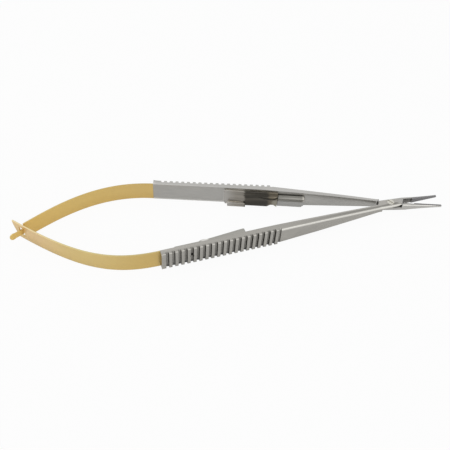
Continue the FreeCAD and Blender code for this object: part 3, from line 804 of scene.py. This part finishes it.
@dataclass
class WorkedPiece:
    """A rigid piece made from its frame solid, with its edges broken as by a polisher."""

    node: str
    body: str
    slot: str
    edge_radius: float = 0.06 * MM
    segments: int = 2
    sharp_angle: float = 24.0
    smooth_angle: float = 35.0
    flat_angle: float = 0.4
    merge_distance: float = 0.002 * MM

    def ease(self, piece: bpy.types.Object) -> None:
        """Reshapes the copy before its edges are rounded; a plain piece keeps its shape."""

    def build(self, frame: dict, material: bpy.types.Material) -> bpy.types.Object:
        """Copies the solid, merges its triangles, rounds its sharp edges and dresses it.

        Args:
            material: The finish.

        Returns:
            The finished piece.
        """
        source = frame["nodes"][self.node]
        piece = bpy.data.objects.new(self.node + "_worked", source.data.copy())
        bpy.context.scene.collection.objects.link(piece)
        take(piece)
        bpy.ops.object.mode_set(mode="EDIT")
        bpy.ops.mesh.select_all(action="SELECT")
        bpy.ops.mesh.remove_doubles(threshold=self.merge_distance)
        bpy.ops.mesh.customdata_custom_splitnormals_clear()
        bpy.ops.mesh.dissolve_limited(angle_limit=math.radians(self.flat_angle))
        bpy.ops.object.mode_set(mode="OBJECT")
        self.ease(piece)
        rounding = piece.modifiers.new("broken_edges", "BEVEL")
        rounding.width = self.edge_radius
        rounding.segments = self.segments
        rounding.limit_method = "ANGLE"
        rounding.angle_limit = math.radians(self.sharp_angle)
        rounding.harden_normals = False
        bpy.ops.object.modifier_apply(modifier=rounding.name)
        bpy.ops.object.shade_smooth_by_angle(angle=math.radians(self.smooth_angle))
        dress(piece, material)
        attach(piece, self.body)
        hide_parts(self.node)
        LOG.info("%s: %d faces", piece.name, len(piece.data.polygons))
        return piece


@dataclass
class StrikePlate(WorkedPiece):
    """The strike plate, whose ends and bump are eased along the handle away from the rivet."""

    edge_radius: float = 0.05 * MM
    pivot: Vector = Vector((52.502 * MM, 0.0, 0.0))
    direction: float = 10.1
    front: float = 52.2 * MM
    front_shift: float = -0.5 * MM
    bump: float = 63.5 * MM
    rear_shift: float = 1.3 * MM
    rivet: float = 69.52 * MM
    rivet_reach: float = 0.9 * MM

    def ease(self, piece: bpy.types.Object) -> None:
        """Moves the plate's corners along the handle, apart from the rim of the rivet's hole.

        Args:
            piece: The plate.
        """
        turn = math.radians(self.direction)
        rearward = Vector((-math.cos(turn), -math.sin(turn), 0.0))
        for vertex in piece.data.vertices:
            offset = vertex.co - self.pivot
            offset.z = 0.0
            distance = offset.length
            if abs(distance - self.rivet) > self.rivet_reach:
                share = min(1.0, max(0.0, (distance - self.front) / (self.bump - self.front)))
                vertex.co += rearward * (self.front_shift + (self.rear_shift - self.front_shift) * share)


@dataclass
class LatchLever(WorkedPiece):
    """The rocking lever, whose back is painted pale: painted light that lifts the shade in the gap against
    the arm.
    """

    edge_radius: float = 0.04 * MM
    back_normal: float = 0.8

    def is_back(self, face: bpy.types.MeshPolygon) -> bool:
        """Whether a face is turned towards the arm."""
        return face.normal.y > self.back_normal

    def finish(self, frame: dict, front: bpy.types.Material, back: bpy.types.Material) -> None:
        """Builds the lever and gives its back its own finish."""
        refinish(self.build(frame, front), back, self.is_back)


@dataclass
class Arm(WorkedPiece):
    """One forged half: broad faces, narrow sides, the front bevel and the relief behind the jaw insert."""

    edge_radius: float = 0.07 * MM
    side_normal: float = 0.94
    bevel_normals: tuple[float, float] = (0.6, 0.8)
    bevel_area: float = 0.05 * MM * MM
    bevel_from: float = 11.7 * MM
    bevel_to: float = 56.6 * MM
    relief_normal: float = 0.8
    relief_from: float = 57.0 * MM
    relief_to: float = 60.7 * MM
    shoulder_normal: float = 0.7
    shoulder_from: float = 44.0 * MM
    shoulder_to: float = 52.5 * MM
    groove_shift: float = 0.0
    grooves_from: float = -24.0 * MM
    grooves_to: float = 13.4 * MM
    middle_slope: float = -0.1795
    middle_base: float = 10.83 * MM

    def ease(self, piece: bpy.types.Object) -> None:
        """Moves the row of grooves towards the joint, where an arm's row starts further forward.

        Args:
            piece: The arm.
        """
        shift = Vector((1.0, self.middle_slope, 0.0)).normalized() * self.groove_shift
        for vertex in piece.data.vertices:
            place = vertex.co
            outward = abs(place.y) - (self.middle_base + place.x * self.middle_slope)
            if self.grooves_from < place.x < self.grooves_to and outward > 0.0:
                vertex.co += shift

    def is_side(self, face: bpy.types.MeshPolygon) -> bool:
        """Whether a face lies on one of the narrow sides."""
        return abs(face.normal.z) > self.side_normal

    def is_bevel(self, face: bpy.types.MeshPolygon) -> bool:
        """Whether a face is part of the bevel between grip and lap."""
        low, high = self.bevel_normals
        return (low < abs(face.normal.z) < high and face.area > self.bevel_area
                and self.bevel_from < face.center.x < self.bevel_to)

    def is_relief(self, face: bpy.types.MeshPolygon) -> bool:
        """Whether a face is the closing side of the jaw between lap and insert, or ends a shoulder.

        Args:
            face: The face.

        Returns:
            True for both kinds of face.
        """
        closing = face.normal.y if self.node == Side.LATCH.body else -face.normal.y
        on_jaw = self.relief_from < face.center.x < self.relief_to and closing > self.relief_normal
        on_shoulder = self.shoulder_from < face.center.x < self.shoulder_to
        return on_jaw or (on_shoulder and face.normal.x > self.shoulder_normal)

    def finish(self, frame: dict, broad: bpy.types.Material, side: bpy.types.Material,
               bevel: bpy.types.Material, relief: bpy.types.Material) -> None:
        """Builds the arm and gives each kind of face its finish.

        Args:
            broad: The finish of the inner and outer faces.
            side: The finish of the narrow sides.
            bevel: The finish of the front bevel.
            relief: The dark colour of the relief and the shoulder ends, a painted shade.
        """
        piece = self.build(frame, broad)
        refinish(piece, side, self.is_side)
        refinish(piece, bevel, self.is_bevel)
        refinish(piece, relief, self.is_relief)


@dataclass
class LeafSpring:
    """A leaf that bends between its own handle and the other one, so that the two stay linked."""

    side: Side
    slot: str
    stations: int = 48
    edge_radius: float = 0.1 * MM
    edge_normal: float = 0.6
    crossing: float = -66.2 * MM

    def is_edge(self, face: bpy.types.MeshPolygon) -> bool:
        """Whether a face lies on one of the long edges."""
        return abs(face.normal.z) > self.edge_normal

    def build(self, frame: dict, broad: bpy.types.Material, edge: bpy.types.Material) -> None:
        """Copies the leaf's solid, rounds its edges, adds loops to bend at, and takes it off its handle's
        body.

        Args:
            broad: The finish of the broad faces.
            edge: The finish of the two long edges.
        """
        node = self.side.body + "_spring"
        piece = WorkedPiece(node, self.side.body, self.slot, self.edge_radius).build(frame, broad)
        piece.parent = None
        low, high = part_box(node)
        take(piece)
        bpy.ops.object.mode_set(mode="EDIT")
        for index in range(1, self.stations):
            bpy.ops.mesh.select_all(action="SELECT")
            x = low.x + (high.x - low.x) * index / self.stations
            bpy.ops.mesh.bisect(plane_co=(x, 0.0, 0.0), plane_no=(1.0, 0.0, 0.0))
        bpy.ops.object.mode_set(mode="OBJECT")
        refinish(piece, edge, self.is_edge)
        del piece["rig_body"]
        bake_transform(piece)


@dataclass
class Halves:
    """The two forged halves, each with its grooved handle, half lap and jaw."""

    slot: str = "arm_steel"
    latch_groove_shift: float = 1.25 * MM
    bevel_turn: float = 12.0
    relief_turn: float = 90.0

    def build(self, frame: dict) -> None:
        """Builds and dresses both halves.
        """
        # painted shade: the dark colour for the relief behind the jaw insert and the ends of the shoulders
        relief = SatinSteel("jaw_relief_painted_shade", self.relief_turn,
                            light=(0.22, 0.21, 0.195), dark=(0.12, 0.115, 0.105),
                            jaw_light=(0.24, 0.23, 0.215), jaw_dark=(0.13, 0.125, 0.115)).make()
        Arm("strike_arm", Side.STRIKE.body, self.slot).finish(
            frame,
            broad=BandedFace("strike_arm_satin", STRIKE_TURN,
                             light=(0.475, 0.46, 0.425), dark=(0.395, 0.383, 0.355)).make(),
            side=BandedSide("strike_arm_side", STRIKE_TURN,
                            light=(0.455, 0.44, 0.41), dark=(0.385, 0.373, 0.345)).make(),
            bevel=BandedBevel("strike_arm_bevel", STRIKE_TURN, roughness=0.34).make(),
            relief=relief)
        Arm("latch_arm", Side.LATCH.body, self.slot, groove_shift=self.latch_groove_shift).finish(
            frame,
            broad=LatchFace("latch_arm_satin", LATCH_TURN,
                            light=(0.495, 0.485, 0.46), dark=(0.415, 0.408, 0.39),
                            jaw_light=(0.58, 0.57, 0.54), jaw_dark=(0.49, 0.48, 0.455)).make(),
            side=SatinSteel("latch_arm_side", LATCH_TURN,
                            light=(0.50, 0.49, 0.47), dark=(0.43, 0.425, 0.405),
                            jaw_light=(0.34, 0.33, 0.31), jaw_dark=(0.28, 0.275, 0.26)).make(),
            bevel=PolishedSteel("bevel_polish", self.bevel_turn, roughness=0.34,
                                colour=(0.62, 0.605, 0.575), streak=(0.53, 0.52, 0.49)).make(),
            relief=relief)


@dataclass
class Catch:
    """The strike plate on the near handle and the rocking lever on the far one."""

    plate_turn: float = 10.0

    def build(self, frame: dict) -> None:
        """Builds and dresses both pieces.
        """
        plate = PlateSide("strike_plate_satin", self.plate_turn,
                          light=(0.40, 0.392, 0.36), dark=(0.33, 0.323, 0.297))
        StrikePlate("strike_plate", Side.STRIKE.body, "arm_steel").build(frame, plate.make())
        # painted light: the lever's back is painted pale, its corners too, to lift the shade in the gap
        # behind it
        back = PolishedSteel("lever_back_painted_light", LEVER_TURN, colour=(0.82, 0.80, 0.75),
                             streak=(0.74, 0.72, 0.67), roughness=0.35, corner=(0.80, 0.78, 0.73))
        LatchLever("latch_lever", "latch_lever", "latch_steel").finish(
            frame, LeverPolish("lever_polish", LEVER_TURN).make(), back.make())


@dataclass
class Fittings:
    """The small pieces: the joint's screw, the jaw faces, the rivet, and the latch's barrel, pin and coil."""

    screw_turn: float = -50.0
    screw_edge: float = 0.04 * MM
    insert_edge: float = 0.02 * MM
    rivet_edge: float = 0.05 * MM
    barrel_edge: float = 0.04 * MM
    pin_edge: float = 0.03 * MM

    def build(self, frame: dict) -> None:
        """Builds and dresses the pieces, and dresses the coil, whose shape is the frame's.
        """
        near, far = Side.STRIKE.body, Side.LATCH.body
        # painted light: the screw's pale corner colour lightens its slot
        screw = PolishedSteel("screw_polish", self.screw_turn, colour=(0.63, 0.615, 0.56),
                              streak=(0.55, 0.535, 0.485), roughness=0.4, corner=(0.85, 0.83, 0.76))
        upper = CutCarbide("jaw_carbide", STRIKE_TURN)
        lower = CutCarbide("lower_jaw_carbide", LATCH_TURN, colour=(0.23, 0.225, 0.227),
                           groove=(0.17, 0.166, 0.167))
        # the rivet is given a very dark colour
        rivet = PolishedSteel("rivet_dark", 0.0, colour=(0.05, 0.046, 0.042), streak=(0.03, 0.028, 0.026),
                              roughness=0.4)
        barrel = BarrelSteel("barrel_steel", LEVER_TURN)
        pin = PolishedSteel("pin_polish", LEVER_TURN).make()
        WorkedPiece("joint_screw", far, "screw_steel", self.screw_edge).build(frame, screw.make())
        WorkedPiece("strike_arm_jaw_insert", near, "carbide", self.insert_edge).build(frame, upper.make())
        WorkedPiece("latch_arm_jaw_insert", far, "carbide", self.insert_edge).build(frame, lower.make())
        WorkedPiece("strike_rivet", near, "arm_steel", self.rivet_edge).build(frame, rivet.make())
        WorkedPiece("latch_barrel", far, "latch_steel", self.barrel_edge).build(frame, barrel.make())
        WorkedPiece("latch_pin", "latch_lever", "latch_steel", self.pin_edge).build(frame, pin)
        dress(frame["nodes"]["latch_torsion_spring"], pin)
        LOG.info("latch_torsion_spring: dressed")


@dataclass
class Springs:
    """The two gold-plated leaves, linked behind the grips."""

    grain_turn: float = 0.0

    def build(self, frame: dict) -> None:
        """Builds and dresses both leaves.
        """
        LeafSpring(Side.LATCH, "gold_plate").build(
            frame,
            broad=GoldPlate("gold", self.grain_turn,
                            (0.81, 0.575, 0.20), (0.76, 0.555, 0.205), (0.72, 0.53, 0.215)).make(),
            edge=GoldPlate("gold_edge", self.grain_turn,
                           (0.62, 0.47, 0.19), (0.58, 0.44, 0.17), (0.54, 0.41, 0.16)).make())
        LeafSpring(Side.STRIKE, "pale_gold_plate").build(
            frame,
            broad=GoldPlate("pale_gold", self.grain_turn,
                            (0.84, 0.625, 0.35), (0.77, 0.60, 0.265), (0.69, 0.505, 0.19)).make(),
            edge=GoldPlate("pale_gold_edge", self.grain_turn,
                           (0.70, 0.58, 0.34), (0.62, 0.53, 0.27), (0.54, 0.44, 0.20)).make())


@dataclass
class Studio:
    """White floor, soft light and a camera at the photograph's angle."""

    elevation: float = 46.21
    azimuth: float = -11.53
    roll: float = 3.84
    distance: float = 190.26 * MM
    target: Vector = Vector((-3.798 * MM, -3.32 * MM, 3.25 * MM))
    pixels_per_mm: float = 3.15
    sensor_width: float = 36.0
    floor_side: float = 3.0
    floor_drop: float = 0.02 * MM
    floor_colour: Colour = (0.86, 0.86, 0.86)
    floor_seen: float = 0.94
    floor_mirrored: float = 0.5
    sky_light: float = 0.8
    white: Colour = (1.0, 1.0, 1.0)
    key_place: Triple = (0.30, -0.46, 0.46)
    key_size: float = 0.5
    key_watts: float = 0.5
    fill_place: Triple = (-0.5, 0.30, 0.5)
    fill_size: float = 0.6
    fill_watts: float = 0.8

    def floor(self) -> None:
        """A wide pale floor that the camera sees as white, with a faint shadow."""
        wipe_selection()
        bpy.ops.mesh.primitive_plane_add(size=self.floor_side, location=(0.0, 0.0, -self.floor_drop))
        floor = bpy.context.active_object
        floor.name = "floor"
        recipe = Recipe("white_floor")
        recipe.set(base_color=self.floor_colour, roughness=0.9, specular_ior_level=0.0)
        glow = recipe.node("ShaderNodeEmission", {}, {"Color": self.white, "Strength": 1.0})
        path = recipe.node("ShaderNodeLightPath").outputs
        seen = Shade(recipe, path["Is Camera Ray"]) * self.floor_seen
        mirrored = Shade(recipe, path["Is Glossy Ray"]) + Shade(recipe, path["Is Transmission Ray"])
        mixed = recipe.node("ShaderNodeMixShader", {},
                            {0: seen + mirrored * self.floor_mirrored, 1: recipe.surface.outputs[0],
                             2: glow.outputs[0]})
        recipe.feed(recipe.output.inputs["Surface"], mixed.outputs[0])
        dress(floor, recipe.material)

    def sky(self) -> None:
        """Even pale surroundings, white to the camera and in reflections."""
        world = bpy.data.worlds.new("studio")
        bpy.context.scene.world = world
        world.use_nodes = True
        tree = world.node_tree
        tree.nodes.clear()
        path = tree.nodes.new("ShaderNodeLightPath")
        either = tree.nodes.new("ShaderNodeMath")
        any_of_three = tree.nodes.new("ShaderNodeMath")
        light = tree.nodes.new("ShaderNodeBackground")
        light.inputs["Strength"].default_value = self.sky_light
        seen = tree.nodes.new("ShaderNodeBackground")
        seen.inputs["Strength"].default_value = 1.0
        seen.inputs["Color"].default_value = (*self.white, 1.0)
        mixed = tree.nodes.new("ShaderNodeMixShader")
        out = tree.nodes.new("ShaderNodeOutputWorld")
        tree.links.new(path.outputs["Is Camera Ray"], either.inputs[0])
        tree.links.new(path.outputs["Is Glossy Ray"], either.inputs[1])
        tree.links.new(either.outputs[0], any_of_three.inputs[0])
        tree.links.new(path.outputs["Is Transmission Ray"], any_of_three.inputs[1])
        tree.links.new(any_of_three.outputs[0], mixed.inputs[0])
        tree.links.new(light.outputs[0], mixed.inputs[1])
        tree.links.new(seen.outputs[0], mixed.inputs[2])
        tree.links.new(mixed.outputs[0], out.inputs[0])

    def lamp(self, name: str, place: Triple, size: float, watts: float) -> None:
        """One square soft box aimed at the instrument.

        Args:
            name: The lamp's name.
            place: Its middle, in metres.
            size: Its side, in metres.
            watts: Its power.
        """
        data = bpy.data.lights.new(name, "AREA")
        data.size = size
        data.energy = watts
        lamp = bpy.data.objects.new(name, data)
        lamp.location = place
        lamp.rotation_euler = (-Vector(place)).to_track_quat("-Z", "Y").to_euler()
        bpy.context.scene.collection.objects.link(lamp)

    def camera(self) -> None:
        """The camera, turned about its own axis as the photograph is."""
        azimuth, elevation = math.radians(self.azimuth), math.radians(self.elevation)
        back = Vector((math.sin(azimuth) * math.cos(elevation), -math.cos(azimuth) * math.cos(elevation),
                       math.sin(elevation)))
        data = bpy.data.cameras.new("camera")
        data.sensor_fit = "HORIZONTAL"
        data.sensor_width = self.sensor_width
        data.lens = self.pixels_per_mm * self.distance / MM / PHOTO_SIDE * self.sensor_width
        data.clip_start, data.clip_end = 0.01, 10.0
        camera = bpy.data.objects.new("camera", data)
        camera.location = self.target + back * self.distance
        turn = (-back).to_track_quat("-Z", "Y")
        camera.rotation_mode = "QUATERNION"
        camera.rotation_quaternion = turn @ Euler((0.0, 0.0, math.radians(self.roll))).to_quaternion()
        bpy.context.scene.collection.objects.link(camera)
        bpy.context.scene.camera = camera

    def build(self) -> None:
        """Builds everything around the instrument."""
        self.floor()
        self.sky()
        self.lamp("key", self.key_place, self.key_size, self.key_watts)
        self.lamp("fill", self.fill_place, self.fill_size, self.fill_watts)
        self.camera()
        bpy.context.scene.view_settings.view_transform = "Standard"


def main() -> None:
    """Builds and dresses the instrument, piece by piece, and the studio round it."""
    logging.basicConfig(level=logging.INFO, format="%(message)s")
    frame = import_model()
    for assembly in (Halves(), Catch(), Fittings(), Springs()):
        assembly.build(frame)
    Studio().build()


if __name__ == "__main__":
    main()
